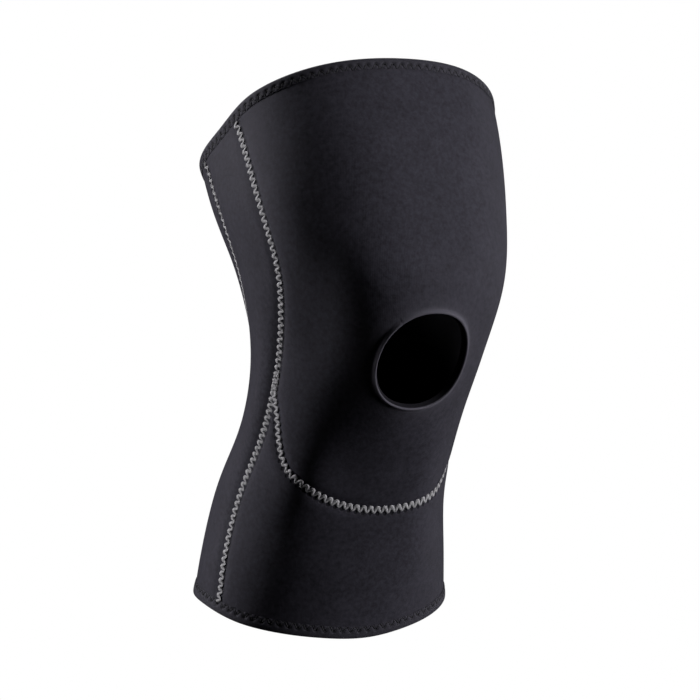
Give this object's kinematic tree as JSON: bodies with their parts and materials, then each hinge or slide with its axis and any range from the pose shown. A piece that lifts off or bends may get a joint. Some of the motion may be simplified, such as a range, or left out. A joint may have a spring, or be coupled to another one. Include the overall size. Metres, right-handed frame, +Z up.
{
  "type": "knee sleeve",
  "caption": "Pull-on knee sleeve of sewn neoprene panels in its worn form, with a round kneecap opening and bound thigh and calf hems.",
  "frame": {"origin": "middle of the knee hollow, half a millimetre above the level of the kneecap opening's centre", "axes": "+Z up the leg to the thigh hem, -Y out through the kneecap opening, +X to the side"},
  "size_m": [0.1571, 0.1852, 0.2998],
  "materials": {
    "neoprene_jersey": "matt nylon jersey on neoprene foam",
    "binding_tape": "matt knitted nylon tape",
    "seam_thread": "light grey textured polyester thread",
    "hem_thread": "black polyester thread"
  },
  "bodies": {
    "root": {"knee_panel": "neoprene_jersey", "shin_panel": "neoprene_jersey", "side_panel_left": "neoprene_jersey", "side_panel_right": "neoprene_jersey", "back_panel": "neoprene_jersey", "thigh_binding": "binding_tape", "calf_binding": "binding_tape"}
  },
  "joints": []
}
